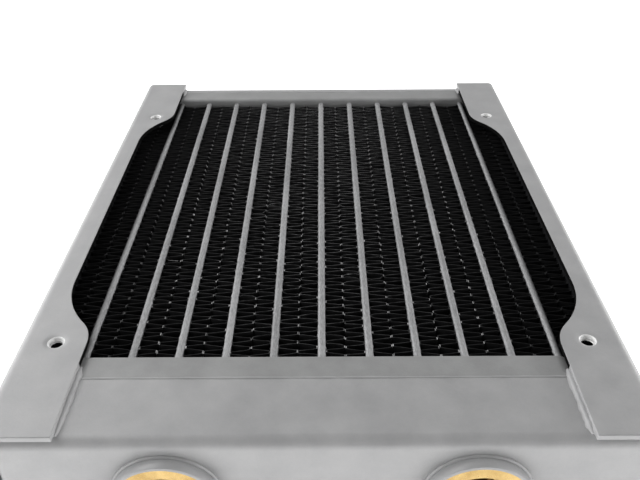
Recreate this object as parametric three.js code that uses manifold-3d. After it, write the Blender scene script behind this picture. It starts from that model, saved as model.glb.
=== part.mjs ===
// Liquid cooling radiator for one 120 mm fan, with a folded sheet-metal frame, eleven flat water
// tubes, split serpentine fins, and a soldered tank at each end.
// Frame: millimetres, +Z up, X across the tubes, Y along them. The fan faces are at the top and the
// bottom. The origin is at the base, under the centre of the fan's square of screw holes.
import * as THREE from "three";
import { mergeVertices } from "three/addons/utils/BufferGeometryUtils.js";
import Module from "manifold-3d";

const wasm = await Module();
wasm.setup();

// ---- Driving dimensions ----
const WIDTH = 120;
const HEIGHT = 30;
const PORT_END = -79;
const RETURN_END = 79;
const GAP = 0.3;

// Side channels: a C section whose flanges widen to a tab at each fan screw.
const SHEET = 1.2;
const BEND_RADIUS = 2;
const CHANNEL_START = -76.5;
const TAB_EDGE = 46.75;
const NARROW_EDGE = 54.45;
const TAB_END = 54;
const SCALLOP_ANGLE = THREE.MathUtils.degToRad(41);
const TAB_RADIUS = 9;
const NARROW_RADIUS = 20;

// Fan screws: a 105 mm square of plunged and tapped holes.
const SCREW_OFFSET = 52.5;
const SCREW_RADIUS = 1.65;
const COLLAR_RADIUS = 2.6;
const COLLAR_DEPTH = 1.4;

// Core: the tubes and fins between the two header plates.
const CORE_START = -55;
const CORE_END = 69;
const TUBE_COUNT = 11;
const TUBE_PITCH = 9.38;
const TUBE_THICKNESS = 1.5;
const TUBE_WALL = 0.3;
const TUBE_HEIGHT = 24.4;
const TUBE_OVERHANG = 2.5;
const SIDE_PLATE_THICKNESS = 1;

// Fins: two corrugated strips in each of the spaces beside the tubes.
const FIN_HEIGHT = 23.4;
const FIN_FOIL = 0.5;
const FIN_CLEARANCE = 0.2;
const FIN_PERIODS = 20;

// Header plates and tanks.
const PAN_HALF_WIDTH = 49.3;
const TANK_HALF_WIDTH = 58.3;
const TANK_HEIGHT = 27;
const TANK_SHEET = 1;
const TANK_END_WALL = 1.6;
const TANK_CORNER = 2.5;
const TANK_END_RADIUS = 2.2;
const HEADER_DEPTH = 6;
const HEADER_BEND = 0.8;
const SLOT_CLEARANCE = 0.2;
const DIVIDER_THICKNESS = 1.2;

// Ports: two G1/4 bosses in the end wall of the port tank.
const PORT_OFFSET = 28;
const PORT_BORE = 5.9;
const PORT_MOUTH = 6.8;
const PORT_FLANGE = 10;
const PORT_NECK = 8.6;
const PORT_LENGTH = 10;

const MIDDLE = HEIGHT / 2;
const SIDES = 24;
const ROUND_STEPS = 3;
const WEB_INSIDE = WIDTH / 2 - SHEET;

// ---- Finishes ----
const finishes = {
  framePaint: { color: 0xb4b4b3, roughness: 0.45, metalness: 0.3 },
  corePaint: { color: 0xa0a1a1, roughness: 0.55, metalness: 0.3 },
  finBlack: { color: 0x161617, roughness: 0.6, metalness: 0.2 },
  plateBlack: { color: 0x1c1c1d, roughness: 0.6, metalness: 0.2 },
  brass: { color: 0xb08d4c, roughness: 0.35, metalness: 0.9 },
};

const radiator = new THREE.Group();

function addPart(name, geometry, finish, x = 0, y = 0, z = 0) {
  const mesh = new THREE.Mesh(geometry, new THREE.MeshStandardMaterial(finishes[finish]));
  mesh.name = name;
  mesh.position.set(x, y, z);
  radiator.add(mesh);
  return mesh;
}

// ---- Solid helpers ----
function toSolid(geometry) {
  const bare = geometry.clone();
  bare.deleteAttribute("normal");
  bare.deleteAttribute("uv");
  const merged = mergeVertices(bare, 1e-4);
  return new wasm.Manifold(
    new wasm.Mesh({
      numProp: 3,
      vertProperties: new Float32Array(merged.attributes.position.array),
      triVerts: new Uint32Array(merged.index.array),
    }),
  );
}

function toGeometry(solid) {
  const mesh = solid.getMesh();
  const geometry = new THREE.BufferGeometry();
  geometry.setAttribute("position", new THREE.BufferAttribute(mesh.vertProperties, mesh.numProp));
  geometry.setIndex(new THREE.BufferAttribute(mesh.triVerts, 1));
  geometry.computeVertexNormals();
  return geometry;
}

function cutAll(body, tools) {
  return tools.reduce((rest, tool) => rest.subtract(tool), body);
}

function joinAll(body, pieces) {
  return pieces.reduce((sum, piece) => sum.add(piece), body);
}

// A prism of an outline drawn in X and Y, from one height to another.
function uprightPrism(shape, low, high, curveSegments = ROUND_STEPS) {
  const options = { depth: high - low, bevelEnabled: false, curveSegments };
  return new THREE.ExtrudeGeometry(shape, options).translate(0, 0, low);
}

// A prism of an outline drawn in X and Z, from one place along Y to another.
function lengthwisePrism(shape, start, end, curveSegments = ROUND_STEPS) {
  const options = { depth: end - start, bevelEnabled: false, curveSegments };
  return new THREE.ExtrudeGeometry(shape, options).rotateX(Math.PI / 2).translate(0, end, 0);
}

// The same with both ends rounded over.
function roundedBlock(shape, start, end, radius, segments) {
  const options = {
    depth: end - start - 2 * radius,
    bevelThickness: radius,
    bevelSize: radius,
    bevelOffset: -radius,
    bevelSegments: segments,
    curveSegments: 3,
  };
  return new THREE.ExtrudeGeometry(shape, options)
    .rotateX(Math.PI / 2)
    .translate(0, end - radius, 0);
}

function box(x0, x1, y0, y1, z0, z1) {
  return new THREE.BoxGeometry(x1 - x0, y1 - y0, z1 - z0)
    .translate((x0 + x1) / 2, (y0 + y1) / 2, (z0 + z1) / 2);
}

function roundedRectangle(halfWidth, low, high, radius) {
  const shape = new THREE.Shape();
  shape.moveTo(-halfWidth + radius, low);
  shape.lineTo(halfWidth - radius, low);
  shape.absarc(halfWidth - radius, low + radius, radius, -Math.PI / 2, 0);
  shape.lineTo(halfWidth, high - radius);
  shape.absarc(halfWidth - radius, high - radius, radius, 0, Math.PI / 2);
  shape.lineTo(-halfWidth + radius, high);
  shape.absarc(-halfWidth + radius, high - radius, radius, Math.PI / 2, Math.PI);
  shape.lineTo(-halfWidth, low + radius);
  shape.absarc(-halfWidth + radius, low + radius, radius, Math.PI, 1.5 * Math.PI);
  return shape;
}

// ---- Side channels ----
// The C section of the right-hand channel, drawn in X and Z.
function channelSection() {
  const outside = WIDTH / 2;
  const bend = outside - BEND_RADIUS;
  const inner = BEND_RADIUS - SHEET;
  const shape = new THREE.Shape();
  shape.moveTo(TAB_EDGE, 0);
  shape.lineTo(bend, 0);
  shape.absarc(bend, BEND_RADIUS, BEND_RADIUS, -Math.PI / 2, 0);
  shape.lineTo(outside, HEIGHT - BEND_RADIUS);
  shape.absarc(bend, HEIGHT - BEND_RADIUS, BEND_RADIUS, 0, Math.PI / 2);
  shape.lineTo(TAB_EDGE, HEIGHT);
  shape.lineTo(TAB_EDGE, HEIGHT - SHEET);
  shape.lineTo(bend, HEIGHT - SHEET);
  shape.absarc(bend, HEIGHT - BEND_RADIUS, inner, Math.PI / 2, 0, true);
  shape.lineTo(WEB_INSIDE, BEND_RADIUS);
  shape.absarc(bend, BEND_RADIUS, inner, 0, -Math.PI / 2, true);
  shape.lineTo(TAB_EDGE, SHEET);
  return shape;
}

// What is cut from the flanges between the tabs: each side is an arc, a slant and a wider arc.
function scallopOutline() {
  const shift = NARROW_EDGE - TAB_EDGE;
  const arcShift = (TAB_RADIUS + NARROW_RADIUS) * (1 - Math.cos(SCALLOP_ANGLE));
  const slant = (shift - arcShift) / Math.sin(SCALLOP_ANGLE);
  const reach =
    (TAB_RADIUS + NARROW_RADIUS) * Math.sin(SCALLOP_ANGLE) + slant * Math.cos(SCALLOP_ANGLE);
  const narrowStart = TAB_END - reach;
  const clear = TAB_EDGE - 5;
  const shape = new THREE.Shape();
  shape.moveTo(clear, -TAB_END);
  shape.lineTo(TAB_EDGE, -TAB_END);
  shape.absarc(TAB_EDGE + TAB_RADIUS, -TAB_END, TAB_RADIUS, Math.PI, Math.PI - SCALLOP_ANGLE, true);
  shape.absarc(NARROW_EDGE - NARROW_RADIUS, -narrowStart, NARROW_RADIUS, -SCALLOP_ANGLE, 0);
  shape.absarc(NARROW_EDGE - NARROW_RADIUS, narrowStart, NARROW_RADIUS, 0, SCALLOP_ANGLE);
  shape.absarc(TAB_EDGE + TAB_RADIUS, TAB_END, TAB_RADIUS, Math.PI + SCALLOP_ANGLE, Math.PI, true);
  shape.lineTo(clear, TAB_END);
  return shape;
}

function uprightCylinder(radius, x, y, low, high) {
  return new THREE.CylinderGeometry(radius, radius, high - low, 16)
    .rotateX(Math.PI / 2)
    .translate(x, y, (low + high) / 2);
}

function rightChannel() {
  const section = toSolid(lengthwisePrism(channelSection(), CHANNEL_START, RETURN_END, 3));
  const scallop = toSolid(uprightPrism(scallopOutline(), -1, HEIGHT + 1, 5));
  const collars = [];
  const holes = [];
  for (const y of [-SCREW_OFFSET, SCREW_OFFSET]) {
    for (const bottom of [SHEET / 2, HEIGHT - SHEET - COLLAR_DEPTH]) {
      const top = bottom + COLLAR_DEPTH + SHEET / 2;
      collars.push(toSolid(uprightCylinder(COLLAR_RADIUS, SCREW_OFFSET, y, bottom, top)));
    }
    holes.push(toSolid(uprightCylinder(SCREW_RADIUS, SCREW_OFFSET, y, -1, HEIGHT + 1)));
  }
  return cutAll(joinAll(section.subtract(scallop), collars), holes);
}

const channel = toGeometry(rightChannel());
addPart("side_channel_right", channel, "framePaint");
addPart("side_channel_left", channel, "framePaint").scale.x = -1;

// ---- Header plates: pressed pans with a slot for each tube and an ear at each side ----
const TANK_LOW = MIDDLE - TANK_HEIGHT / 2;
const TANK_HIGH = MIDDLE + TANK_HEIGHT / 2;

function tankOutline(halfWidth, inset) {
  const corner = TANK_CORNER - inset;
  return roundedRectangle(halfWidth - inset, TANK_LOW + inset, TANK_HIGH - inset, corner);
}

// A flat tube's outline, drawn in X and Z about a place across the core.
function tubeOutline(x, grow) {
  const half = TUBE_THICKNESS / 2 + grow;
  const straight = (TUBE_HEIGHT - TUBE_THICKNESS) / 2;
  const shape = new THREE.Shape();
  shape.moveTo(x + half, MIDDLE - straight);
  shape.lineTo(x + half, MIDDLE + straight);
  shape.absarc(x, MIDDLE + straight, half, 0, Math.PI);
  shape.lineTo(x - half, MIDDLE - straight);
  shape.absarc(x, MIDDLE - straight, half, Math.PI, 2 * Math.PI);
  return shape;
}

const tubePlaces = Array.from(
  { length: TUBE_COUNT },
  (_, i) => (i - (TUBE_COUNT - 1) / 2) * TUBE_PITCH,
);

// The header plate of the port end. Its pan is pressed towards the core, its rim points to the
// tank, and its ears close the tank beside the pan.
function headerPlate() {
  const rimEnd = CORE_START - HEADER_DEPTH;
  const block = toSolid(
    roundedBlock(
      tankOutline(PAN_HALF_WIDTH, 0),
      rimEnd - HEADER_BEND,
      CORE_START,
      HEADER_BEND,
      2,
    ),
  );
  const ears = toSolid(
    lengthwisePrism(tankOutline(TANK_HALF_WIDTH, 0), rimEnd, rimEnd + TANK_SHEET, 3),
  );
  const beyond = toSolid(box(-WIDTH, WIDTH, rimEnd - 5, rimEnd, -5, HEIGHT + 5));
  const panInside = tankOutline(PAN_HALF_WIDTH, TANK_SHEET);
  const inside = toSolid(lengthwisePrism(panInside, rimEnd - 5, CORE_START - TANK_SHEET, 3));
  const slots = tubePlaces.map((x) =>
    toSolid(lengthwisePrism(tubeOutline(x, SLOT_CLEARANCE), rimEnd, CORE_START + 1)),
  );
  return cutAll(block.add(ears), [beyond, inside, ...slots]);
}

const header = toGeometry(headerPlate());
addPart("header_plate_port", header, "corePaint");
addPart("header_plate_return", header, "corePaint", 0, CORE_START + CORE_END).scale.y = -1;

// ---- Tank covers ----
// A deep cup, open towards its header plate and rounded over at its closed end.
function tankCup(openEnd, closedEnd) {
  const outline = tankOutline(TANK_HALF_WIDTH, 0);
  const outer = toSolid(
    roundedBlock(outline, closedEnd, openEnd + TANK_END_RADIUS, TANK_END_RADIUS, 3),
  );
  const beyond = toSolid(box(-WIDTH, WIDTH, openEnd, openEnd + 10, -5, HEIGHT + 5));
  const hollow = tankOutline(TANK_HALF_WIDTH, TANK_SHEET);
  const inside = toSolid(lengthwisePrism(hollow, closedEnd + TANK_END_WALL, openEnd + 10, 3));
  return cutAll(outer, [beyond, inside]);
}

const portPlaces = [
  ["inlet", -PORT_OFFSET],
  ["outlet", PORT_OFFSET],
];

function lyingCylinder(radius, x, start, end) {
  return new THREE.CylinderGeometry(radius, radius, end - start, SIDES)
    .translate(x, (start + end) / 2, MIDDLE);
}

const coverPort = CORE_START - HEADER_DEPTH - GAP;
const portHoles = portPlaces.map(([, x]) =>
  toSolid(lyingCylinder(PORT_NECK + GAP, x, CHANNEL_START - 1, CHANNEL_START + 4)),
);
addPart(
  "tank_port",
  toGeometry(cutAll(tankCup(coverPort, CHANNEL_START), portHoles)),
  "framePaint",
);

const coverReturn = CORE_END + HEADER_DEPTH + GAP;
const returnCup = toGeometry(tankCup(-coverReturn, -RETURN_END));
addPart("tank_return", returnCup, "framePaint").scale.y = -1;

// The divider sends the water out through the tubes on one side and back through the others.
const dividerPlace = -TUBE_PITCH / 2;
addPart(
  "tank_divider",
  box(
    dividerPlace - DIVIDER_THICKNESS / 2,
    dividerPlace + DIVIDER_THICKNESS / 2,
    CHANNEL_START + TANK_END_WALL + GAP,
    CORE_START - TANK_SHEET - GAP,
    TANK_LOW + TANK_SHEET + GAP,
    TANK_HIGH - TANK_SHEET - GAP,
  ),
  "brass",
);

// ---- Port bosses ----
// Turned about Y: a flange outside the tank's end wall and a neck through it.
function portBoss() {
  const flangeBack = CHANNEL_START - GAP;
  const chamfer = PORT_MOUTH - PORT_BORE;
  const profile = [
    [PORT_MOUTH, PORT_END],
    [PORT_FLANGE - 0.5, PORT_END],
    [PORT_FLANGE, PORT_END + 0.5],
    [PORT_FLANGE, flangeBack],
    [PORT_NECK, flangeBack],
    [PORT_NECK, PORT_END + PORT_LENGTH],
    [PORT_BORE, PORT_END + PORT_LENGTH],
    [PORT_BORE, PORT_END + chamfer],
    [PORT_MOUTH, PORT_END],
  ];
  const points = profile.map(([radius, y]) => new THREE.Vector2(radius, y));
  return new THREE.LatheGeometry(points, SIDES);
}

for (const [name, x] of portPlaces) {
  addPart(`port_boss_${name}`, portBoss(), "brass", x, 0, MIDDLE);
}

// ---- Water tubes ----
function waterTube() {
  const outline = tubeOutline(0, 0);
  outline.holes.push(tubeOutline(0, -TUBE_WALL));
  const end = CORE_END + TUBE_OVERHANG;
  return lengthwisePrism(outline, CORE_START - TUBE_OVERHANG, end, ROUND_STEPS);
}

tubePlaces.forEach((x, i) => {
  const number = String(i + 1).padStart(2, "0");
  addPart(`water_tube_${number}`, waterTube(), "corePaint", x);
});

// ---- Core side plates ----
const sidePlace = (TUBE_COUNT + 1) / 2 * TUBE_PITCH - TUBE_THICKNESS / 2;
const sidePlate = box(
  sidePlace,
  sidePlace + SIDE_PLATE_THICKNESS,
  CORE_START + GAP,
  CORE_END - GAP,
  MIDDLE - TUBE_HEIGHT / 2,
  MIDDLE + TUBE_HEIGHT / 2,
);
addPart("core_side_plate_right", sidePlate, "plateBlack");
addPart("core_side_plate_left", sidePlate, "plateBlack").scale.x = -1;

// ---- Fin strips ----
// A corrugated foil: a thin upright section swept along a zigzag from one header to the other.
function finStrip(width) {
  const low = MIDDLE - FIN_HEIGHT / 2;
  const high = MIDDLE + FIN_HEIGHT / 2;
  const start = CORE_START + GAP;
  const step = (CORE_END - CORE_START - 2 * GAP) / (2 * FIN_PERIODS);
  const crests = 2 * FIN_PERIODS + 1;
  const positions = [];
  const faces = [[0, 1, 2], [0, 2, 3]];
  for (let i = 0; i < crests; i += 1) {
    const x = i % 2 ? width - FIN_FOIL : 0;
    const y = start + i * step;
    positions.push(x, y, low, x + FIN_FOIL, y, low, x + FIN_FOIL, y, high, x, y, high);
  }
  for (let first = 0; first < 4 * (crests - 1); first += 4) {
    for (let side = 0; side < 4; side += 1) {
      const here = first + side;
      const next = first + ((side + 1) % 4);
      faces.push([here, here + 4, next + 4], [here, next + 4, next]);
    }
  }
  const last = 4 * (crests - 1);
  faces.push([last, last + 2, last + 1], [last, last + 3, last + 2]);
  const geometry = new THREE.BufferGeometry();
  geometry.setAttribute("position", new THREE.Float32BufferAttribute(positions, 3));
  geometry.setIndex(faces.flat());
  geometry.computeVertexNormals();
  return geometry;
}

const bandWidth = TUBE_PITCH - TUBE_THICKNESS;
const stripWidth = (bandWidth - 3 * FIN_CLEARANCE) / 2;
for (let band = 0; band <= TUBE_COUNT; band += 1) {
  const middle = (band - TUBE_COUNT / 2) * TUBE_PITCH;
  const number = String(band + 1).padStart(2, "0");
  const offset = FIN_CLEARANCE / 2;
  addPart(`fin_strip_${number}b`, finStrip(stripWidth), "finBlack", middle + offset);
  addPart(`fin_strip_${number}a`, finStrip(stripWidth), "finBlack", middle - offset).scale.x = -1;
}

export default radiator;
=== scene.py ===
import math
import random

import bmesh
import bpy
import numpy as np
from mathutils import Euler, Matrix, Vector
from mathutils.geometry import delaunay_2d_cdt


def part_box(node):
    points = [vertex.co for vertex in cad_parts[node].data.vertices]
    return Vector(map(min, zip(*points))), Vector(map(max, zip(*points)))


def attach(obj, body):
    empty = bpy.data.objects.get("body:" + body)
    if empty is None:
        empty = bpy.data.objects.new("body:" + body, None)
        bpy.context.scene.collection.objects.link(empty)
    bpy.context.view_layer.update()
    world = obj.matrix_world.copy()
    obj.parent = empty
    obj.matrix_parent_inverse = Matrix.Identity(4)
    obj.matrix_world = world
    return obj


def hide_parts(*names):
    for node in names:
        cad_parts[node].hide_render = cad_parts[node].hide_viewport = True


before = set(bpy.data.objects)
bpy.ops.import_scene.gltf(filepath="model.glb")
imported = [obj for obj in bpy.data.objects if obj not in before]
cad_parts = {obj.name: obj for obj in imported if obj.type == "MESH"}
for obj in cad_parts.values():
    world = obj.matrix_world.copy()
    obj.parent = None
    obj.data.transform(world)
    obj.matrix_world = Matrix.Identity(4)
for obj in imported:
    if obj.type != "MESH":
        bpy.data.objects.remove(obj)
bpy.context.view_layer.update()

# A liquid cooling radiator for one 120 mm fan: folded side channels, a core of flat tubes and split
# serpentine fins, header plates, tanks, and two threaded port bosses. Lengths here are in
# millimetres, in the frame's axes, and become metres where a mesh is made.
MM = 0.001
SEED = 5


def node_box(node):
    """A CAD node's lowest and highest corners in millimetres."""
    low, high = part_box(node)
    return np.array(low) / MM, np.array(high) / MM


# ---- Sizes taken from the frame ----
FRAME_LOW, FRAME_HIGH = node_box("side_channel_right")
HEIGHT = FRAME_HIGH[2]
MIDDLE = HEIGHT / 2
OUTSIDE = FRAME_HIGH[0]
CHANNEL_START, CHANNEL_END = FRAME_LOW[1], FRAME_HIGH[1]
TAB_EDGE = FRAME_LOW[0]
HEADER_LOW, HEADER_HIGH = node_box("header_plate_port")
RETURN_LOW, RETURN_HIGH = node_box("header_plate_return")
CORE_START, CORE_END = HEADER_HIGH[1], RETURN_LOW[1]
TANK_LOW, TANK_HIGH = node_box("tank_port")
RETURN_TANK_LOW, RETURN_TANK_HIGH = node_box("tank_return")
TUBES = [f"water_tube_{i:02d}" for i in range(1, 12)]
LAST_TUBE = node_box(TUBES[-1])[1][0]

# ---- Sizes repeated from the design ----
SHEET = 1.2
BEND_RADIUS = 2.0
NARROW_EDGE = 54.45
TAB_END = 54.0
SCALLOP_ANGLE = math.radians(41)
TAB_RADIUS = 9.0
NARROW_RADIUS = 20.0
SCREW_OFFSET = 52.5
PAN_HALF_WIDTH = 49.3
TANK_SHEET = 1.0
TANK_END_WALL = 1.6
TANK_CORNER = 2.5
TANK_END_RADIUS = 2.2
HEADER_BEND = 0.8
PORT_OFFSET = 28.0

# ---- Fine detail ----
# How far a flange's flat face stops short of its free edge and of the fold.
LIP = 0.4
EDGE_ROUNDING = 0.16
PAN_CORNER = 3.0
PAN_WALL = 0.7
PORT_HOLE_RADIUS = 8.9
# How much rounder the near pan's right corners are, and its left ones sharper.
PAN_UNEVEN = 0.6
# How far the beads beside the tabs reach over the header plates, on the right and on the left.
TAB_SEAM = {1: 1.3, -1: 2.4}
# How the hand-cut flange openings differ from the design, for each side and end: the shift of the
# tab's edge and of the narrow edge away from the middle, and of the tab's end along the core.
UNEVEN = {
    (1, -1): (0.1, 0.25, 0.0),
    (1, 1): (0.4, 0.1, -0.5),
    (-1, -1): (-0.5, -0.3, -1.2),
    (-1, 1): (0.1, -0.05, 1.2),
}
# How far the tubes halfway to each side are spread from their even places.
CORE_SPREAD = 0.3
TUBE_WALL = 0.28
NOSE_STEPS = 8
NOSE_POWER = 0.78
GROOVE_DEPTH = 0.025
COAT = 0.02
FIN_PITCH = 1.3
FOIL = 0.09
# Places where the fins have been knocked: band, half, place along the core, reach and size.
DENTS = (
    (5, "b", 2.5, 1.7, 0.75),
    (7, "b", -27.0, 4.0, 0.5),
    (7, "a", 30.0, 2.5, -0.5),
    (3, "a", -36.0, 2.0, 0.45),
    (9, "b", -12.0, 2.2, -0.4),
    (10, "a", 14.0, 2.0, 0.5),
    (4, "b", 41.0, 2.5, 0.5),
)


# ---- Materials ----
# Near-black below the tube noses, and painted shade deep in the fan holes and on the outer sides of the
# outermost tubes.
BLACK_AND_PAINTED_SHADE = (0.006, 0.006, 0.007)
RAGGED = 0.35


class Finish:
    """A material and the nodes that work out its colour, roughness and relief."""

    def __init__(self, name):
        self.material = bpy.data.materials.new(name)
        self.material.use_nodes = True
        self.tree = self.material.node_tree
        self.shader = self.tree.nodes["Principled BSDF"]

    def feed(self, node, inputs):
        """Gives each of a node's inputs a constant, or links another node's output to it."""
        for name, value in inputs.items():
            if isinstance(value, bpy.types.NodeSocket):
                self.tree.links.new(value, node.inputs[name])
            else:
                node.inputs[name].default_value = value

    def add(self, kind, inputs, output, **settings):
        """Adds a node and returns one of its outputs."""
        node = self.tree.nodes.new(f"ShaderNode{kind}")
        for name, value in settings.items():
            setattr(node, name, value)
        self.feed(node, inputs)
        return node.outputs[output]

    def calculate(self, operation, *values):
        return self.add("Math", dict(enumerate(values)), "Value", operation=operation)

    def place_on(self, axis):
        place = self.add("TexCoord", {}, "Object")
        return self.add("SeparateXYZ", {"Vector": place}, axis)

    def noise(self, scale, detail=3.0, roughness=0.55, stretch=(1, 1, 1)):
        """Noise by place on the object, with features of about 1 / scale metres."""
        place = self.add("TexCoord", {}, "Object")
        place = self.add("Mapping", {"Vector": place, "Scale": stretch}, "Vector")
        inputs = {"Vector": place, "Scale": scale, "Detail": detail, "Roughness": roughness}
        return self.add("TexNoise", inputs, "Fac")

    def remap(self, value, low, high, from_low=0.3, from_high=0.7):
        """Takes from_low to low and from_high to high, and holds the value between them."""
        ends = {"From Min": from_low, "From Max": from_high, "To Min": low, "To Max": high}
        return self.add("MapRange", {"Value": value, **ends}, "Result")

    def blend(self, factor, first, second):
        """The first colour where the factor is 0, turning into the second one at 1."""
        ends = {"A": first, "B": second}
        for name, colour in ends.items():
            if isinstance(colour, tuple):
                ends[name] = (*colour, 1)
        return self.add("Mix", {"Factor": factor, **ends}, "Result", data_type="RGBA")

    def bump(self, height, strength, depth, under=None):
        """Relief of a depth in millimetres, on top of the relief under it."""
        inputs = {"Height": height, "Strength": strength, "Distance": depth * MM}
        if under is not None:
            inputs["Normal"] = under
        return self.add("Bump", inputs, "Normal")

    def near_faces(self, start, end):
        """1 near the part's top and bottom, falling to 0 from end to start millimetres off its
        middle height, with a ragged border."""
        height = self.calculate("SUBTRACT", self.place_on("Z"), MIDDLE * MM)
        off_middle = self.calculate("ABSOLUTE", height)
        grain = self.noise(2600, 3, 0.6)
        place = self.calculate("MULTIPLY_ADD", grain, RAGGED * MM, off_middle)
        return self.remap(place, 0, 1, (start + RAGGED / 2) * MM, (end + RAGGED / 2) * MM)

    def aside(self, start, end, low):
        """1 within start millimetres of the part's middle width, falling to low at end."""
        off_middle = self.calculate("ABSOLUTE", self.place_on("X"))
        return self.remap(off_middle, 1, low, start * MM, end * MM)

    def along(self, near, far):
        """near at the core's port end, changing to far at its return end."""
        return self.remap(self.place_on("Y"), near, far, CORE_START * MM, CORE_END * MM)


def sprayed_paint(name, dark, light, rough, grain, flecking=0.35, stretch=(1, 1, 1), reach=None,
                  sides=None):
    """Silver-grey sprayed paint: fine metallic flecks, soft mottling and orange peel. reach is
    where it turns to near-black below, in millimetres off the part's middle height, and sides is
    where it turns to painted shade towards the part's sides."""
    paint = Finish(name)
    mottle = paint.noise(160, 4, 0.6, stretch)
    flecks = paint.noise(4200, 2, 0.7, stretch)
    peel = paint.noise(grain, 2, 0.5, stretch)
    shade = paint.calculate("MULTIPLY_ADD", flecks, flecking, mottle)
    middle, spread = 0.5 + 0.5 * flecking, 0.225
    factor = paint.remap(shade, 0, 1, middle - spread, middle + spread)
    colour = paint.blend(factor, dark, light)
    if reach:
        cover = paint.near_faces(*reach)
        # Painted shade towards the part's sides: the outermost tubes' outer sides, beside the flanges.
        if sides:
            cover = paint.calculate("MULTIPLY", cover, paint.aside(*sides))
        colour = paint.blend(cover, BLACK_AND_PAINTED_SHADE, colour)
    paint.feed(paint.shader, {
        "Base Color": colour,
        "Metallic": 0.1,
        "Roughness": paint.remap(mottle, rough - 0.05, rough + 0.06),
        "Normal": paint.bump(flecks, 0.25, 0.02, under=paint.bump(peel, 0.35, 0.06)),
    })
    return paint.material


def dark_paint(name, dark, light, rough, scale=900, sides=None, ends=None, shine=0.5):
    """Thin black paint with dust and dull patches. On the fin edges its light colour is painted sheen,
    and on the crests light paint with a painted highlight: sides is where that light fades towards the
    part's sides, and ends is how light it is at the port end and at the return end."""
    paint = Finish(name)
    patches = paint.noise(scale, 4, 0.65)
    factor = paint.remap(patches, 0, 1, 0.35, 0.75)
    # Painted sheen and highlight: the fin edges and crests are light only in some bands, and lighter
    # towards one end.
    if sides:
        factor = paint.calculate("MULTIPLY", factor, paint.aside(*sides))
    if ends:
        factor = paint.calculate("MULTIPLY", factor, paint.along(*ends))
    paint.feed(paint.shader, {
        "Base Color": paint.blend(factor, dark, light),
        "Roughness": paint.remap(patches, rough - 0.08, rough + 0.12),
        "Specular IOR Level": shine,
        "Normal": paint.bump(patches, 0.3, 0.03),
    })
    return paint.material


def bare_metal(name, dark, light, metallic, turning, reach=None):
    """Machined metal with fine tool marks. reach is where it turns to painted shade, near-black,
    below, in millimetres off the part's middle height."""
    metal = Finish(name)
    marks = metal.noise(2400, 3, 0.6, turning)
    colour = metal.blend(metal.remap(metal.noise(300, 3, 0.6), 0, 1), dark, light)
    # Painted shade: near-black deep down in the holes.
    if reach:
        colour = metal.blend(metal.near_faces(*reach), BLACK_AND_PAINTED_SHADE, colour)
    metal.feed(metal.shader, {
        "Base Color": colour,
        "Metallic": metallic,
        "Roughness": metal.remap(marks, 0.23, 0.4),
        "Normal": metal.bump(marks, 0.25, 0.02),
    })
    return metal.material


FRAME_PAINT = sprayed_paint(
    "frame_paint", dark=(0.40, 0.40, 0.405), light=(0.47, 0.47, 0.472), rough=0.42, grain=1400
)
CORE_PAINT = sprayed_paint(
    "core_paint", dark=(0.31, 0.312, 0.312), light=(0.38, 0.382, 0.382), rough=0.45, grain=1800
)
# Its sides fade is painted shade on the outermost tubes' outer sides, where the flanges keep the side light
# off.
TUBE_PAINT_AND_SHADE = sprayed_paint(
    "tube_paint_and_painted_shade", dark=(0.265, 0.267, 0.272), light=(0.45, 0.452, 0.458), rough=0.46, grain=1500,
    flecking=1.4, stretch=(1, 0.2, 1), reach=(11.5, 11.85), sides=(46.65, 47.4, 0.08),
)
# Near-black painted shade on the flanges' cut edges beside the dark core, with almost no shine.
CUT_EDGE_SHADE = dark_paint(
    "cut_edge_painted_shade", dark=(0.003, 0.003, 0.003), light=(0.008, 0.008, 0.008), rough=0.6, scale=500, shine=0.05
)
FIN_BLACK = dark_paint(
    "fin_black", dark=(0.013, 0.013, 0.0135), light=(0.024, 0.024, 0.025), rough=0.6, shine=0.2
)
# Black fin edges with a painted sheen: light in the middle bands only, and lighter towards the return end.
FIN_EDGE_SHEEN = dark_paint(
    "fin_edge_painted_sheen", dark=(0.016, 0.016, 0.017), light=(0.60, 0.60, 0.605), rough=0.6, scale=700,
    sides=(8, 43.5, 0.0), ends=(0.19, 1.0), shine=0.15,
)
# Light paint and solder on the fin crests, with a painted highlight: brightest at the port end and in the
# middle bands, fading towards the return end and the outer bands.
FIN_CREST_PAINT_AND_HIGHLIGHT = dark_paint(
    "fin_crest_paint_and_highlight", dark=(0.016, 0.016, 0.017), light=(0.95, 0.95, 0.955), rough=0.45,
    sides=(33, 45, 0.0), ends=(1.0, 0.3), shine=0.2,
)
PLATE_BLACK = dark_paint(
    "plate_black", dark=(0.006, 0.006, 0.007), light=(0.014, 0.014, 0.015), rough=0.6, scale=300, shine=0.15
)
# Near-white and mostly diffuse: bare metal, partly painted reflection standing in for its glare; reach
# turns it to painted shade deep in the fan holes.
BARE_METAL_GLARE_AND_SHADE = bare_metal(
    "bare_metal", dark=(0.92, 0.92, 0.915), light=(0.98, 0.98, 0.97), metallic=0.1, turning=(1, 1, 6),
    reach=(13.5, 13.7),
)
BRASS = bare_metal(
    "brass", dark=(0.46, 0.31, 0.12), light=(0.66, 0.47, 0.2), metallic=1, turning=(1, 6, 1)
)


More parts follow.
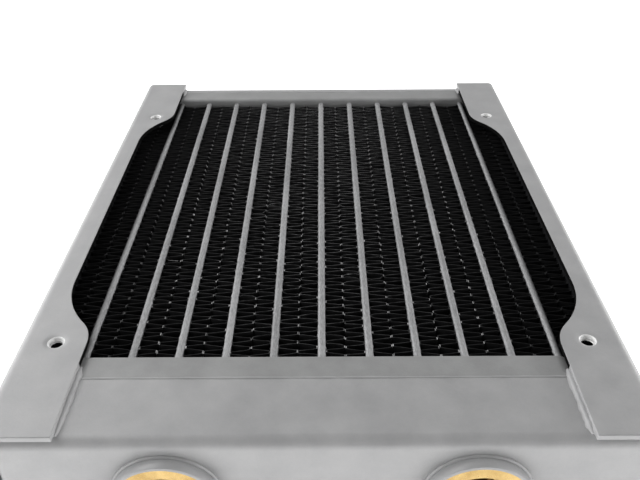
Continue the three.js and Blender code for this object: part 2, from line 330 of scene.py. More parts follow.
# ---- Mesh building ----
class Solid:
    """Points and faces of one closed shape, in millimetres. A face's finish is the place of its
    material in the piece's list."""

    def __init__(self):
        self.points = []
        self.faces = []
        self.finishes = []

    def ring(self, points):
        """Adds points and returns their numbers."""
        first = len(self.points)
        self.points.extend(tuple(p) for p in points)
        return list(range(first, len(self.points)))

    def face(self, corners, finish=0):
        self.faces.append(tuple(corners))
        self.finishes.append(finish)

    def bridge(self, a, b, closed=True, finish=0):
        """Joins two rings of as many points with a band of faces."""
        count = len(a)
        for i in range(count if closed else count - 1):
            j = (i + 1) % count
            self.face((a[i], a[j], b[j], b[i]), finish)

    def skin(self, rings, finish=0):
        """Joins each ring to the next one."""
        for a, b in zip(rings, rings[1:]):
            self.bridge(a, b, finish=finish)

    def flat(self, outline, holes, axes):
        """Fills a flat outline, given as rings of point numbers, around its holes."""
        loops = [outline, *holes]
        ids = [i for loop in loops for i in loop]
        place = np.array([[self.points[i][axes[0]], self.points[i][axes[1]]] for i in ids])
        edges = []
        first = 0
        for loop in loops:
            count = len(loop)
            edges += [(first + i, first + (i + 1) % count) for i in range(count)]
            first += count
        made = delaunay_2d_cdt([Vector(p) for p in place], edges, [], 0, 1e-6)
        found, triangles, sources = made[0], made[2], made[3]
        for triangle in triangles:
            corners = [found[i] for i in triangle]
            centre = sum(corners, Vector((0, 0))) / 3
            if crossings(centre, place, edges) % 2:
                self.face(ids[sources[i][0]] for i in triangle)

    def piece(self, name, materials, replaces=(), bevel=0.0, sharp=35.0, weighted=False):
        mesh = bpy.data.meshes.new(name)
        mesh.from_pydata([Vector(p) * MM for p in self.points], [], self.faces)
        mesh.polygons.foreach_set("material_index", self.finishes)
        shape = bmesh.new()
        shape.from_mesh(mesh)
        bmesh.ops.remove_doubles(shape, verts=shape.verts, dist=1e-7)
        bmesh.ops.recalc_face_normals(shape, faces=shape.faces)
        shape.to_mesh(mesh)
        shape.free()
        return finish_piece(name, mesh, materials, replaces, bevel, sharp, weighted)


def crossings(point, place, edges):
    """How many of the edges a ray from the point along +X crosses."""
    a = place[[e[0] for e in edges]]
    b = place[[e[1] for e in edges]]
    spans = (a[:, 1] > point.y) != (b[:, 1] > point.y)
    a, b = a[spans], b[spans]
    x = a[:, 0] + (point.y - a[:, 1]) / (b[:, 1] - a[:, 1]) * (b[:, 0] - a[:, 0])
    return int((x > point.x).sum())


def finish_piece(name, mesh, materials, replaces, bevel, sharp, weighted=False):
    """Makes an object of a mesh. sharp is the angle in degrees over which an edge stays sharp."""
    mesh.polygons.foreach_set("use_smooth", [True] * len(mesh.polygons))
    mesh.set_sharp_from_angle(angle=math.radians(sharp))
    for material in materials:
        mesh.materials.append(material)
    obj = bpy.data.objects.new(name, mesh)
    bpy.context.scene.collection.objects.link(obj)
    if bevel:
        rounding = obj.modifiers.new("rounding", "BEVEL")
        rounding.width = bevel * MM
        rounding.segments = 2
        rounding.limit_method = "ANGLE"
        rounding.angle_limit = math.radians(sharp)
        rounding.harden_normals = True
    if weighted:
        shading = obj.modifiers.new("shading", "WEIGHTED_NORMAL")
        shading.keep_sharp = True
    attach(obj, "root")
    if replaces:
        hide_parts(*replaces)
    return obj


def arc(cx, cy, radius, start, end, steps):
    """Points on an arc in a plane, from one angle in degrees to another."""
    angles = np.radians(np.linspace(start, end, steps + 1))
    return [(cx + radius * math.cos(a), cy + radius * math.sin(a)) for a in angles]


def circle(cx, cy, radius, count):
    return arc(cx, cy, radius, 0, 360 - 360 / count, count - 1)


def core_box(node):
    """A tube's or fin strip's corners, with the core's uneven spacing."""
    corners = node_box(node)
    for corner in corners:
        share = min(1.0, abs(corner[0]) / LAST_TUBE)
        corner[0] += math.copysign(CORE_SPREAD * math.sin(math.pi * share), corner[0])
    return corners


# ---- Side channels ----
def tab_edge(side, end):
    """How far a tab's straight edge is off the middle. end is -1 at the port end."""
    return TAB_EDGE + UNEVEN[side, end][0]


def scallop_end(side, end):
    """The curve from a tab's edge to the flange's narrow edge, as distances off the middle and
    along the core."""
    edge_shift, narrow_shift, end_shift = UNEVEN[side, end]
    tab, narrow, tab_end = TAB_EDGE + edge_shift, NARROW_EDGE + narrow_shift, TAB_END + end_shift
    angle = math.degrees(SCALLOP_ANGLE)
    radii = TAB_RADIUS + NARROW_RADIUS
    slant = (narrow - tab - radii * (1 - math.cos(SCALLOP_ANGLE))) / math.sin(SCALLOP_ANGLE)
    reach = radii * math.sin(SCALLOP_ANGLE) + slant * math.cos(SCALLOP_ANGLE)
    curve = arc(tab + TAB_RADIUS, -tab_end, TAB_RADIUS, 180, 180 - angle, 14)
    curve += arc(narrow - NARROW_RADIUS, reach - tab_end, NARROW_RADIUS, -angle, 0, 18)
    return [(x, -y) for x, y in curve]


def scallop_edge(side):
    """The flange's free edge from the port end to the return end, as points in X and Y."""
    seam = TAB_SEAM[side]
    near, far = tab_edge(side, -1), tab_edge(side, 1)
    return [
        (near, CHANNEL_START), (near, HEADER_LOW[1] + seam),
        *((x, -y) for x, y in scallop_end(side, -1)), *reversed(scallop_end(side, 1)),
        (far, RETURN_HIGH[1] - seam), (far, CHANNEL_END),
    ]


def moved_inward(edge, distance):
    """The flange's free edge moved into the sheet."""
    moved = []
    for i, (x, y) in enumerate(edge):
        before, after = edge[max(i - 1, 0)], edge[min(i + 1, len(edge) - 1)]
        dx, dy = after[0] - before[0], after[1] - before[1]
        share = distance / math.hypot(dx, dy)
        moved.append((x + share * dy, y - share * dx))
    return moved


# A fan hole's section as radius and depth below the flange's face: the paint rolls into a plunged
# collar, whose wall is bare and turns to painted shade deep down.
DIMPLE = [(2.95, 0.0), (2.65, 0.0), (2.4, 0.025), (2.1, 0.07), (1.87, 0.13), (1.7, 0.2)]
BARE_WALL = [(1.61, 0.25), (1.51, 0.33), (1.42, 0.45), (1.37, 0.6), (1.32, 1.3), (1.31, 2.45)]
COLLAR_END = [(1.8, 2.56), (2.3, 2.6), (2.46, 2.5), (2.52, 2.2), (2.6, 1.36), (2.75, SHEET)]
HOLE_POINTS = 48
# A channel's finishes, in the order of its materials; the cut edges' finish is painted shade.
PAINTED, BARE, CUT_SHADE = range(3)


def fan_hole(solid, at, y):
    """One plunged hole. Returns its rings at the flange's outer and inner faces."""
    rings = []
    for radius, depth in DIMPLE + BARE_WALL + COLLAR_END:
        place = circle(SCREW_OFFSET, y, radius, HOLE_POINTS)
        rings.append(solid.ring(at(px, py, depth) for px, py in place))
    bare = range(len(DIMPLE) - 1, len(DIMPLE) + len(BARE_WALL))
    for i, (a, b) in enumerate(zip(rings, rings[1:])):
        solid.bridge(a, b, finish=BARE if i in bare else PAINTED)
    return rings[0], rings[-1]


def flange(solid, side, face):
    """One flange and its half of the fold. face is 1 at the top and -1 at the bottom. Returns the
    outer layer and the inner one: the free edge, the lip's inner side, and the fold's two ends."""

    def at(x, y, depth):
        return (side * x, y, MIDDLE + face * (MIDDLE - depth))

    edge = scallop_edge(side)
    inset = moved_inward(edge, LIP)
    bend = OUTSIDE - BEND_RADIUS
    layers = []
    for depth in (0.0, SHEET):
        free = solid.ring(at(x, y, depth) for x, y in edge)
        lip = solid.ring(at(x, y, depth) for x, y in inset)
        solid.bridge(free, lip, closed=False)
        section = [(bend - LIP, MIDDLE - depth)]
        section += arc(bend, MIDDLE - BEND_RADIUS, BEND_RADIUS - depth, 90, 0, 8)
        fold = [
            solid.ring((side * x, y, MIDDLE + face * z) for x, z in section)
            for y in (CHANNEL_START, CHANNEL_END)
        ]
        solid.bridge(*fold, closed=False)
        layers.append((free, lip, fold))
    holes = [fan_hole(solid, at, y) for y in (-SCREW_OFFSET, SCREW_OFFSET)]
    for layer, (free, lip, fold) in enumerate(layers):
        outline = [*lip, fold[1][0], fold[0][0]]
        solid.flat(outline, [hole[layer] for hole in holes], (0, 1))
    outer, inner = layers[0][0], layers[1][0]
    # The middle of the free edge, beside the core, takes the painted shade; its ends over the tanks stay
    # painted.
    for part, finish in ((slice(0, 2), PAINTED), (slice(1, -1), CUT_SHADE), (slice(-2, None), PAINTED)):
        solid.bridge(outer[part], inner[part], closed=False, finish=finish)
    return layers


def channel(side):
    """One folded channel. side is 1 on the right and -1 on the left."""
    solid = Solid()
    flanges = [flange(solid, side, face) for face in (1, -1)]
    layers = list(zip(*flanges))
    for (_, _, top), (_, _, bottom) in layers:
        solid.face((top[0][-1], top[1][-1], bottom[1][-1], bottom[0][-1]))
    for end in (0, 1):
        rows = []
        for pair in layers:
            over, under = ([free[-end], lip[-end], *fold[end]] for free, lip, fold in pair)
            rows.append([*over, *reversed(under)])
        solid.bridge(*rows, closed=False)
    name = "right" if side > 0 else "left"
    return solid.piece(
        f"painted_channel_{name}", [FRAME_PAINT, BARE_METAL_GLARE_AND_SHADE, CUT_EDGE_SHADE],
        [f"side_channel_{name}"], bevel=EDGE_ROUNDING, sharp=40, weighted=True,
    )


def screw_threads():
    """The bare thread inside each plunged fan hole, as a ridge that winds down the wall."""
    solid = Solid()
    for side in (1, -1):
        for face in (1, -1):
            for y in (-SCREW_OFFSET, SCREW_OFFSET):
                screw_thread(solid, side, face, y)
    return solid.piece("fan_screw_threads", [BARE_METAL_GLARE_AND_SHADE], sharp=30)


def screw_thread(solid, side, face, y):
    """One hole's ridge. It fades into the wall at both ends."""
    pitch, steps, turns = 0.5, 36, 2.1
    crest, root, half, sunk = 1.19, 1.37, 0.18, 0.12
    start = 0.75
    fade_steps, least = 10, 0.05
    rings = []
    for i in range(int(turns * steps) + 1):
        angle = 2 * math.pi * i / steps
        depth = start + pitch * i / steps
        fade = min(1.0, i / fade_steps, (turns * steps - i) / fade_steps + least)
        inward = root - (root - crest) * max(fade, least)
        section = ((root, -half), (inward, 0.0), (root, half), (root + sunk, 0.0))
        rings.append(solid.ring(
            (
                side * (SCREW_OFFSET + r * math.cos(angle)),
                y + r * math.sin(angle),
                MIDDLE + face * (MIDDLE - depth - dz),
            )
            for r, dz in section
        ))
    solid.skin(rings)
    solid.face(rings[0])
    solid.face(rings[-1])


# ---- Tanks and header plates ----
def tank_loop(half_width, low, high, corner, uneven=0.0, steps=7):
    """A rounded rectangle in X and Z, always with the same number of points. uneven makes its
    right corners rounder and its left ones sharper."""
    w, right, left = half_width, corner + uneven, corner - uneven
    loop = arc(w - right, high - right, right, 90, 0, steps)
    loop += arc(w - right, low + right, right, 0, -90, steps)
    loop += arc(-w + left, low + left, left, -90, -180, steps)
    loop += arc(-w + left, high - left, left, 180, 90, steps)
    return loop


def tank_ring(solid, half_width, y, inset, corner, uneven=0.0):
    loop = tank_loop(half_width - inset, TANK_LOW[2] + inset, TANK_HIGH[2] - inset, corner, uneven)
    return solid.ring((x, y, z) for x, z in loop)


def tank_cover(name, open_end, closed_end, ports):
    """A drawn cup with a rounded closed end, and a hole for each port."""
    solid = Solid()
    out = math.copysign(1, closed_end - open_end)
    half = TANK_HIGH[0]
    steps = 6
    least_outer, least_inner, inner_share = 0.35, 0.3, 0.6
    outer = [tank_ring(solid, half, open_end, 0, TANK_CORNER)]
    inner = [tank_ring(solid, half, open_end, TANK_SHEET, TANK_CORNER - TANK_SHEET)]
    for i in range(steps + 1):
        turn = math.pi / 2 * i / steps
        shrink = TANK_END_RADIUS * (1 - math.cos(turn))
        drop = TANK_END_RADIUS * (1 - math.sin(turn))
        corner = max(TANK_CORNER - shrink, least_outer)
        outer.append(tank_ring(solid, half, closed_end - out * drop, shrink, corner))
        inset = TANK_SHEET + inner_share * shrink
        corner = max(TANK_CORNER - inset, least_inner)
        y = closed_end - out * (TANK_END_WALL + inner_share * drop)
        inner.append(tank_ring(solid, half, y, inset, corner))
    solid.skin(outer)
    solid.skin(inner)
    solid.bridge(outer[0], inner[0])
    holes = []
    for x in ports:
        pair = [
            solid.ring((px, y, pz) for px, pz in circle(x, MIDDLE, PORT_HOLE_RADIUS, 48))
            for y in (closed_end, closed_end - out * TANK_END_WALL)
        ]
        solid.bridge(*pair)
        holes.append(pair)
    solid.flat(outer[-1], [pair[0] for pair in holes], (0, 2))
    solid.flat(inner[-1], [pair[1] for pair in holes], (0, 2))
    return solid.piece(f"drawn_{name}", [FRAME_PAINT], [name], sharp=40, weighted=True)


def header_plate(name, face_y, out):
    """A pressed header plate. face_y is its face towards the fins, and out points to the tank."""
    solid = Solid()
    rim_end = face_y + out * (HEADER_HIGH[1] - HEADER_LOW[1])
    ear_face = rim_end - out * TANK_SHEET
    plate_back = face_y + out * TANK_SHEET
    steps = 5
    slot_gap = 0.02
    outer = []
    for i in range(steps + 1):
        turn = math.pi / 2 * i / steps
        inset = HEADER_BEND * (1 - math.sin(turn))
        y = face_y + out * HEADER_BEND * (1 - math.cos(turn))
        outer.append(tank_ring(solid, PAN_HALF_WIDTH, y, inset, PAN_CORNER - inset, PAN_UNEVEN))
    outer.append(tank_ring(solid, PAN_HALF_WIDTH, ear_face, 0, PAN_CORNER, PAN_UNEVEN))
    outer.append(tank_ring(solid, TANK_HIGH[0], ear_face, 0, PAN_CORNER))
    outer.append(tank_ring(solid, TANK_HIGH[0], rim_end, 0, PAN_CORNER))
    inner = [
        tank_ring(solid, PAN_HALF_WIDTH, y, PAN_WALL, PAN_CORNER - PAN_WALL, PAN_UNEVEN)
        for y in (rim_end, plate_back)
    ]
    solid.skin(outer)
    solid.bridge(outer[-1], inner[0])
    solid.bridge(*inner)
    slots = []
    for tube in TUBES:
        low, high = core_box(tube)
        x = (low[0] + high[0]) / 2
        loop = tube_section(x, (high[0] - low[0]) / 2 + slot_gap, (high[2] - low[2]) / 2 + slot_gap)
        pair = [solid.ring((px, y, pz) for px, pz in loop) for y in (face_y, plate_back)]
        solid.bridge(*pair)
        slots.append(pair)
    solid.flat(outer[0], [pair[0] for pair in slots], (0, 2))
    solid.flat(inner[1], [pair[1] for pair in slots], (0, 2))
    return solid.piece(f"pressed_{name}", [CORE_PAINT], [name], sharp=40, weighted=True)


# ---- Water tubes ----
def tube_section(x, half_width, half_height, grooves=0.0):
    """A tube's outline from its right side over the top nose to its left side and round below.
    The noses are flatter than half circles, with shallow grooves along them."""
    right = []
    for angle in np.linspace(0, math.pi / 2, NOSE_STEPS + 1):
        dx = half_width * math.cos(angle) ** NOSE_POWER
        dz = half_width * math.sin(angle) ** NOSE_POWER
        groove = grooves * math.cos(3 * math.pi * dx / half_width) * math.sin(angle)
        right.append((dx, half_height - half_width + dz - groove))
    nose = right + [(-dx, dz) for dx, dz in reversed(right[:-1])]
    return [(x + dx, MIDDLE + dz) for dx, dz in nose + [(-dx, -dz) for dx, dz in nose]]


def water_tube(number, node):
    """A flat tube with grooved noses, specks of paint at its sides, and solder at its ends."""
    draw = random.Random(SEED * 100 + number)
    low, high = core_box(node)
    x = (low[0] + high[0]) / 2
    half, tall = (high[0] - low[0]) / 2, (high[2] - low[2]) / 2
    core = np.arange(CORE_START, CORE_END + 0.01, FIN_PITCH / 2)
    stations = [low[1], CORE_START - 1, CORE_START - 0.1, *core, CORE_END + 0.1, CORE_END + 1, high[1]]
    specks = {(side, face): [speck(draw) for _ in stations] for side in (1, -1) for face in (1, -1)}
    lift = [draw.uniform(-GROOVE_DEPTH, GROOVE_DEPTH) for _ in stations]
    solder, solder_reach, speck_reach = 0.3, 0.5, 0.45
    solid = Solid()
    outer = []
    for i, y in enumerate(stations):
        inside = 2 < i < len(stations) - 3
        if inside:
            section = tube_section(x, half + COAT, tall, GROOVE_DEPTH)
            near = min(abs(y - CORE_START), abs(y - CORE_END))
            flare = solder * math.exp(-near / solder_reach)
        else:
            section = tube_section(x, half, tall)
        points = []
        for px, pz in section:
            grow, drop = 0.0, 0.0
            side, face = math.copysign(1, px - x), math.copysign(1, pz - MIDDLE)
            if inside:
                across = abs(px - x) / half
                depth = tall - abs(pz - MIDDLE)
                spread = math.exp(-((depth - half) / speck_reach) ** 2)
                grow = (flare + specks[side, face][i] * spread) * across
                drop = lift[i] * (1 - across) if depth < half else 0.0
            points.append((px + side * grow, y, pz + face * drop))
        outer.append(solid.ring(points))
    solid.skin(outer)
    inner = [
        solid.ring((px, y, pz) for px, pz in tube_section(x, half - TUBE_WALL, tall - TUBE_WALL))
        for y in (low[1], high[1])
    ]
    solid.bridge(*inner)
    solid.bridge(outer[0], inner[0])
    solid.bridge(outer[-1], inner[1])
    return solid.piece(f"tube_{number:02d}", [TUBE_PAINT_AND_SHADE], [node], sharp=50)


def speck(draw):
    """How far a speck of paint stands out from the tube's side, where a fin's crest touches it."""
    size = draw.random()
    if size > 0.96:
        return draw.uniform(0.12, 0.22)
    return draw.uniform(0.02, 0.08) if size > 0.7 else 0.0


# ---- Fin strips ----
# A fin's finishes, in the order of its materials: black paint, edges with painted sheen, and crests with
# light paint and a painted highlight.
FOIL_FACE, FOIL_EDGE, FOIL_CREST = range(3)
# Where the louvers of a wall between two folds start and end, as shares of the way.
WALL_PLACES = (0.16, 0.84)


def fin_strip(number, half, node):
    """One corrugated, louvered strip. half is a beside the left tube, b beside the right one."""
    band = random.Random(SEED * 50 + number)
    first = band.uniform(0.1, 0.6)
    turn = band.randint(0, 1)
    shift = band.uniform(0, 6.28)
    slide = band.uniform(-0.35, 0.35)
    draw = random.Random(SEED * 1000 + number * 2 + (half == "b"))
    low, high = core_box(node)
    touch_tube, touch_middle = 0.19, 0.08
    left = low[0] - (touch_tube if half == "a" else touch_middle)
    right = high[0] + (touch_middle if half == "a" else touch_tube)
    folds = int((CORE_END - CORE_START - FIN_PITCH) / FIN_PITCH)
    foil = []
    for k in range(folds + 1):
        ease = min(1, k / 5, (folds - k) / 5)
        drift = 0.3 * math.sin(k / 17 + shift)
        if half == "b":
            drift += slide + 0.42 * math.sin(k / 11 + 2.3 * shift)
        y = CORE_START + first + k * FIN_PITCH + drift * ease + draw.gauss(0, 0.07)
        at_right = (k + turn + (half == "b")) % 2 == 1
        x, inward = (right, -1) if at_right else (left, 1)
        finish, paint = crest_paint(draw, half, at_right == (half == "a"))
        tip = 0.32 + 0.08 * math.sin(k / 6 + 3 * shift) + draw.uniform(-0.04, 0.04)
        bend = fold_bend(draw, number, half, y)
        corner = 0.34 + draw.uniform(-0.05, 0.05)
        fold = fold_points(x, y, inward, corner, tip, paint, finish, bend)
        if k:
            foil += wall_points(foil[-1], fold[0], wall_bend, wall_finishes)
        foil += fold
        wall_bend = bend
        wall_finishes = [wall_finish(draw, bend) for _ in WALL_PLACES]
    return foil_mesh(number, half, node, foil)


def crest_paint(draw, half, at_middle):
    """A crest's finish, and how thick the paint on it is. at_middle is where two strips meet."""
    odds = 0.2
    if at_middle:
        odds = 0.92 if half == "a" else 0.5
    finish = FOIL_CREST if draw.random() < odds else FOIL_EDGE
    paint = draw.uniform(0.13, 0.2)
    if not at_middle:
        paint = draw.uniform(0.18, 0.34) if finish == FOIL_CREST else draw.uniform(0.1, 0.2)
    return finish, paint


def fold_bend(draw, number, half, y):
    """How far a fold leans along the core, more so where the fins have been knocked."""
    bend = draw.gauss(0, 0.07) if draw.random() < 0.93 else draw.gauss(0, 0.28)
    for dented_band, dented_half, place, reach, size in DENTS:
        if (dented_band, dented_half) == (number, half):
            bend += size * math.exp(-((y - place) / reach) ** 2) * draw.uniform(0.6, 1.3)
    return bend


# A foil's points are each a place in X and Y, the thickness, whether a louver starts there, the
# finish of the edge, and how far the middle height leans along the core.
def fold_points(x, y, inward, corner, tip, paint, finish, bend):
    """The four points of one fold, with the painted crest between two plain shoulders."""
    crest_gap, half_fold, lean = 0.03, 0.42, 0.3 * bend
    shoulder = x + inward * (corner + FOIL / 2)
    crest = x + inward * (crest_gap + paint / 2)
    return [
        (shoulder, y - half_fold, FOIL, 0.0, FOIL_FACE, lean),
        (crest, y - tip, paint, 0.0, finish, 0.0),
        (crest, y + tip, paint, 0.0, finish, 0.0),
        (shoulder, y + half_fold, FOIL, 0.0, FOIL_FACE, lean),
    ]


def wall_points(start, end, bend, finishes):
    """The two points where the louvers of a wall start and end."""
    points = []
    for share, finish in zip(WALL_PLACES, finishes):
        x, y = (start[i] + (end[i] - start[i]) * share for i in (0, 1))
        points.append((x, y, FOIL, 1.0, finish, bend))
    return points


def wall_finish(draw, bend):
    """A bent wall's edge sometimes takes the crests' light paint and painted highlight."""
    return FOIL_CREST if abs(bend) > 0.4 and draw.random() < 0.4 else FOIL_FACE


def foil_rows(low, high):
    """Heights of the foil's rows with each one's louver offset: slats that lean and step back."""
    margin, slats, lean = 0.9, 7, 0.2
    slat = (high - low - 2 * margin) / slats
    rows = [(low, 0.0), (low + margin / 2, 0.0)]
    for i in range(slats):
        bottom = low + margin + i * slat
        rows += [(bottom + 0.08 * slat, -lean), (bottom + 0.92 * slat, lean)]
    return rows + [(high - margin / 2, 0.0), (high, 0.0)]


def foil_mesh(number, half, node, foil):
    """The strip's mesh: a front and a back sheet, joined along their edges."""
    low, high = node_box(node)
    rows = foil_rows(low[2], high[2])
    foil = np.array(foil)
    line, thick, louver, sway = foil[:, :2], foil[:, 2], foil[:, 3], foil[:, 5]
    crest = foil[:, 4].astype(int)
    along = np.gradient(line, axis=0)
    along /= np.linalg.norm(along, axis=1)[:, None]
    normal = np.stack([-along[:, 1], along[:, 0]], axis=1)
    count, levels = len(line), len(rows)
    lean_depth = 1.4
    points = []
    for face in (0.5, -0.5):
        for z, lean in rows:
            depth = min(z - low[2], high[2] - z)
            offset = face * thick + louver * lean
            flat = line + normal * offset[:, None]
            flat[:, 1] += sway * math.exp(-depth / lean_depth)
            points.append(np.column_stack([flat, np.full(count, z)]))
    points = np.concatenate(points) * MM
    front, back = np.arange(2 * levels * count).reshape(2, levels, count)
    quads, finishes = [], []

    def add(a, b, c, d, finish):
        quads.append(np.stack([a, b, c, d], axis=-1).reshape(-1, 4))
        finishes.append(np.broadcast_to(finish, a.shape).reshape(-1))

    add(front[:-1, :-1], front[1:, :-1], front[1:, 1:], front[:-1, 1:], FOIL_FACE)
    add(back[:-1, :-1], back[:-1, 1:], back[1:, 1:], back[1:, :-1], FOIL_FACE)
    edge = np.maximum(FOIL_EDGE, np.minimum(crest[:-1], crest[1:]))
    add(front[-1, :-1], back[-1, :-1], back[-1, 1:], front[-1, 1:], edge)
    add(front[0, :-1], front[0, 1:], back[0, 1:], back[0, :-1], edge)
    add(front[:-1, 0], back[:-1, 0], back[1:, 0], front[1:, 0], FOIL_FACE)
    add(front[:-1, -1], front[1:, -1], back[1:, -1], back[:-1, -1], FOIL_FACE)
    quads = np.concatenate(quads)
    name = f"louvered_fin_{number:02d}{half}"
    mesh = bpy.data.meshes.new(name)
    mesh.vertices.add(len(points))
    mesh.vertices.foreach_set("co", points.ravel())
    mesh.loops.add(quads.size)
    mesh.loops.foreach_set("vertex_index", quads.ravel().astype(np.int32))
    mesh.polygons.add(len(quads))
    mesh.polygons.foreach_set("loop_start", np.arange(0, quads.size, 4, dtype=np.int32))
    mesh.polygons.foreach_set("material_index", np.concatenate(finishes).astype(np.int32))
    mesh.update(calc_edges=True)
    mesh.validate()
    return finish_piece(name, mesh, [FIN_BLACK, FIN_EDGE_SHEEN, FIN_CREST_PAINT_AND_HIGHLIGHT], [node], 0, 30)


# ---- Port bosses ----
def port_boss(name, x):
    """A turned boss with a G1/4 thread: paint outside, bare brass on the face and in the bore."""
    solid = Solid()
    node = f"port_boss_{name}"
    low, high = node_box(node)
    front, back = low[1], high[1]
    pitch, major, minor = 1.337, 6.5785, 5.722
    steps, per_turn = 12, 60
    painted, brass = 0, 1
    shell = [
        (7.0, front + 0.02, brass), (9.3, front, brass), (9.75, front + 0.12, painted),
        (9.95, front + 0.45, painted), (9.95, front + 1.9, painted), (9.8, front + 2.18, painted),
        (8.75, front + 2.2, painted), (8.75, back - 0.4, brass), (8.4, back, brass), (6.4, back, brass),
    ]

    def turned(radius, y):
        return solid.ring(
            (x + radius * math.cos(a), y, MIDDLE + radius * math.sin(a))
            for a in np.linspace(0, 2 * math.pi, per_turn, endpoint=False)
        )

    rings = [turned(radius, y) for radius, y, _ in shell]
    for (a, b), (_, _, finish) in zip(zip(rings, rings[1:]), shell[1:]):
        solid.bridge(a, b, finish=finish)
    bore_start, bore_end = front + 0.5, back - 0.35
    length = bore_end - bore_start
    levels = int(length / pitch * steps)
    bore = []
    for i in range(levels + 1):
        y = bore_start + length * i / levels
        ramp = max(0.0, min(1.0, i / steps, (levels - i) / steps))
        points = []
        for k in range(per_turn):
            angle = 2 * math.pi * k / per_turn
            phase = ((y - bore_start) / pitch - k / per_turn) % 1.0
            wave = min(1.0, max(0.0, 1.25 * (1 - abs(2 * phase - 1)) - 0.12))
            radius = major - (major - minor) * wave * ramp
            points.append((x + radius * math.cos(angle), y, MIDDLE + radius * math.sin(angle)))
        bore.append(solid.ring(points))
    solid.skin([rings[0], *bore, rings[-1]], finish=brass)
    return solid.piece(f"turned_boss_{name}", [FRAME_PAINT, BRASS], [node], sharp=40)


# ---- Solder ----
def solder_bead(name, route, radius, seed, closed=False):
    """A painted bead of solder along a route, of uneven thickness."""
    draw = random.Random(SEED * 7 + seed)
    solid = Solid()
    sides = 8
    count = len(route)
    rings = []
    for i, place in enumerate(route):
        ahead = Vector(route[(i + 1) % count] if closed or i < count - 1 else route[i])
        behind = Vector(route[i - 1] if closed or i > 0 else route[i])
        direction = (ahead - behind).normalized()
        across = direction.cross(Vector((0, 0, 1)))
        if across.length < 0.1:
            across = direction.cross(Vector((0, 1, 0)))
        across.normalize()
        up = across.cross(direction).normalized()
        size = radius * draw.uniform(0.82, 1.15)
        if not closed:
            size *= min(1, 0.35 + min(i, count - 1 - i) * 0.35)
        rings.append(solid.ring(
            Vector(place) + across * size * math.cos(a) + up * size * math.sin(a)
            for a in np.linspace(0, 2 * math.pi, sides, endpoint=False)
        ))
    solid.skin(rings)
    if closed:
        solid.bridge(rings[-1], rings[0])
    else:
        solid.face(rings[0])
        solid.face(rings[-1])
    return solid.piece(name, [FRAME_PAINT], sharp=60)


def tank_beads():
    """Beads where the tank covers meet the header plates."""
    sunk, off_plate, spacing = 0.12, 0.15, 2.2
    loop = tank_loop(TANK_HIGH[0] - sunk, TANK_LOW[2] + sunk, TANK_HIGH[2] - sunk, TANK_CORNER)
    for name, y in (("port", HEADER_LOW[1] - off_plate), ("return", RETURN_HIGH[1] + off_plate)):
        route = resample([(x, y, z) for x, z in loop], spacing)
        solder_bead(f"seam_bead_{name}", route, 0.3, len(name), closed=True)


def tab_beads():
    """Beads where the tabs meet the tanks."""
    overlap, short, off_edge, spacing, radius = 0.4, 1.5, 0.02, 0.9, 0.85
    seed = 20
    spans = (("port", HEADER_LOW[1], CHANNEL_START, -1), ("return", RETURN_HIGH[1], CHANNEL_END, 1))
    for name, plate, corner, end in spans:
        for side, side_name in ((1, "right"), (-1, "left")):
            first = plate - end * (TAB_SEAM[side] + overlap)
            last = corner - end * short
            x = side * (tab_edge(side, end) + off_edge)
            count = int(abs(last - first) / spacing)
            for z, face_name in ((TANK_HIGH[2], "top"), (TANK_LOW[2], "bottom")):
                seed += 1
                route = [(x, first + (last - first) * i / count, z) for i in range(count + 1)]
                solder_bead(f"tab_bead_{name}_{side_name}_{face_name}", route, radius, seed)


def boss_beads():
    """Beads round the port bosses."""
    for x, name in ((-PORT_OFFSET, "inlet"), (PORT_OFFSET, "outlet")):
        route = [(px, CHANNEL_START - 0.08, pz) for px, pz in circle(x, MIDDLE, 9.9, 48)]
        solder_bead(f"boss_bead_{name}", route, 0.42, 50 + len(name), closed=True)


def resample(route, step):
    """A closed route with extra points, so that no two are further apart than the step."""
    made = []
    for a, b in zip(route, [*route[1:], route[0]]):
        a, b = Vector(a), Vector(b)
        parts = max(1, math.ceil((b - a).length / step))
        made += [tuple(a.lerp(b, i / parts)) for i in range(parts)]
    return [p for p, q in zip(made, [*made[1:], made[0]]) if (Vector(p) - Vector(q)).length > 1e-4]


# ---- Stage, lights and camera, in metres ----
def area_light(name, place, size, power):
    """A soft rectangular light that faces the part."""
    light = bpy.data.lights.new(name, "AREA")
    light.shape = "RECTANGLE"
    light.size, light.size_y = size
    light.energy = power
    obj = bpy.data.objects.new(name, light)
    obj.location = place
    direction = Vector((0, 0, 0.02)) - Vector(place)
    obj.rotation_euler = direction.to_track_quat("-Z", "Y").to_euler()
    bpy.context.scene.collection.objects.link(obj)


def pale_floor():
    finish = Finish("pale_floor")
    factor = finish.remap(finish.noise(6, 2), 0, 1)
    finish.feed(finish.shader, {
        "Base Color": finish.blend(factor, (0.93, 0.93, 0.93), (0.95, 0.95, 0.95)),
        "Roughness": 0.7,
        "Emission Color": (1, 1, 1, 1),
        "Emission Strength": 0.9,
    })
    mesh = bpy.data.meshes.new("floor")
    reach = 4.0
    corners = [(-reach, -reach, 0), (reach, -reach, 0), (reach, reach, 0), (-reach, reach, 0)]
    mesh.from_pydata(corners, [], [(0, 1, 2, 3)])
    mesh.materials.append(finish.material)
    floor = bpy.data.objects.new("floor", mesh)
    floor.location.z = -0.0002
    bpy.context.scene.collection.objects.link(floor)


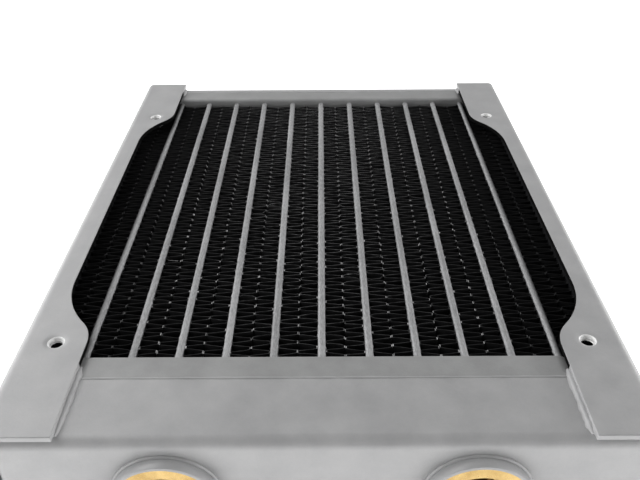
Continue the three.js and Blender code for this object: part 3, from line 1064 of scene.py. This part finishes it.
def studio():
    """A white surround and soft lights from both sides and the far end."""
    scene = bpy.context.scene
    scene.view_settings.view_transform = "Standard"
    world = bpy.data.worlds.new("studio")
    world.use_nodes = True
    background = world.node_tree.nodes["Background"]
    background.inputs["Color"].default_value = (1, 1, 1, 1)
    background.inputs["Strength"].default_value = 0.145
    scene.world = world
    area_light("left_key", (-0.3, 0.05, 0.4), (0.45, 0.3), 1.16)
    area_light("left_wall", (-0.4, 0, 0.1), (0.9, 0.16), 1.17)
    area_light("left_back", (-0.4, 0.4, 0.3), (0.4, 0.3), 0.6)
    area_light("right_key", (0.35, 0.05, 0.32), (0.45, 0.3), 0.43)
    area_light("right_wall", (0.4, 0, 0.1), (0.9, 0.16), 1.39)
    area_light("far_end", (0, 0.6, 0.35), (0.9, 0.3), 0.32)


def close_view():
    """The camera of the close three-quarter look along the core, from above the port end."""
    camera = bpy.data.cameras.new("close_view")
    camera.lens = 40.53
    camera.sensor_width = 36
    camera.clip_start = 0.005
    obj = bpy.data.objects.new("close_view", camera)
    obj.location = Vector((0.18, -158.64, HEIGHT + 96.58)) * MM
    tilt, roll, turn = 34.36, 0.39, -0.2
    look = Euler((math.radians(90 - tilt), 0, 0)).to_matrix()
    lean = Euler((0, 0, math.radians(-roll))).to_matrix()
    heading = Euler((0, 0, math.radians(-turn))).to_matrix()
    obj.rotation_euler = (heading @ look @ lean).to_euler()
    bpy.context.scene.collection.objects.link(obj)
    bpy.context.scene.camera = obj


def colour_frame_pieces():
    """Gives the pieces that come straight from the frame their materials."""
    for name, material in (
        ("core_side_plate_left", PLATE_BLACK),
        ("core_side_plate_right", PLATE_BLACK),
        ("tank_divider", BRASS),
    ):
        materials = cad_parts[name].data.materials
        materials.clear()
        materials.append(material)


close_view()
pale_floor()
studio()
for channel_side in (1, -1):
    channel(channel_side)
screw_threads()
header_plate("header_plate_port", CORE_START, -1)
header_plate("header_plate_return", CORE_END, 1)
tank_cover("tank_port", TANK_HIGH[1], TANK_LOW[1], (-PORT_OFFSET, PORT_OFFSET))
tank_cover("tank_return", RETURN_TANK_LOW[1], RETURN_TANK_HIGH[1], ())
port_boss("inlet", -PORT_OFFSET)
port_boss("outlet", PORT_OFFSET)
for tube_number, tube_node in enumerate(TUBES, 1):
    water_tube(tube_number, tube_node)
for fin_band in range(1, 13):
    for fin_half in "ab":
        fin_strip(fin_band, fin_half, f"fin_strip_{fin_band:02d}{fin_half}")
tank_beads()
tab_beads()
boss_beads()
colour_frame_pieces()
